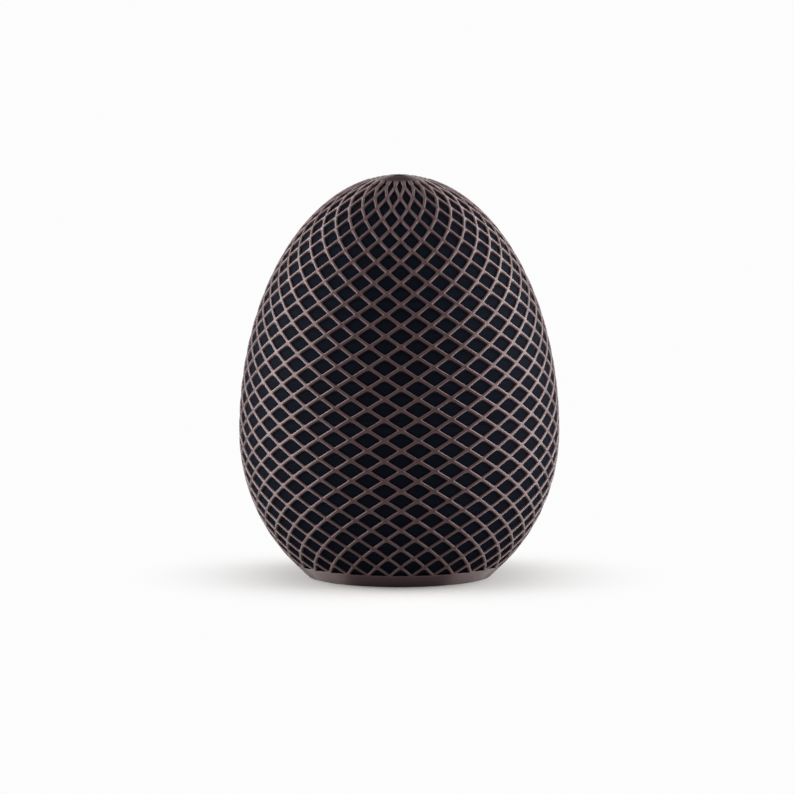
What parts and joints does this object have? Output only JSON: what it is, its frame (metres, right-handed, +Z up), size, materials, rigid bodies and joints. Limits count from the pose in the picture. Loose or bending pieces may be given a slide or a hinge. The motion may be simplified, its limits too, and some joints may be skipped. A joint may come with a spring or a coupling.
{
  "type": "openwork egg ornament",
  "caption": "Standing egg ornament: a dark closed inner egg inside a flush diamond lattice of brown ribs, on a low foot ring, with a closed crown.",
  "frame": {"origin": "middle of the foot ring's underside, on the surface that the egg stands on", "axes": "+Z up along the egg's axis, -Y towards the front"},
  "size_m": [0.06, 0.06, 0.0753],
  "materials": {
    "brown_print": "satin extruded lines",
    "dark_print": "satin extruded lines"
  },
  "bodies": {
    "root": {"inner_egg": "dark_print", "foot_ring": "brown_print", "right_hand_ribs": "brown_print", "left_hand_ribs": "brown_print", "crown_cap": "brown_print"}
  },
  "joints": []
}
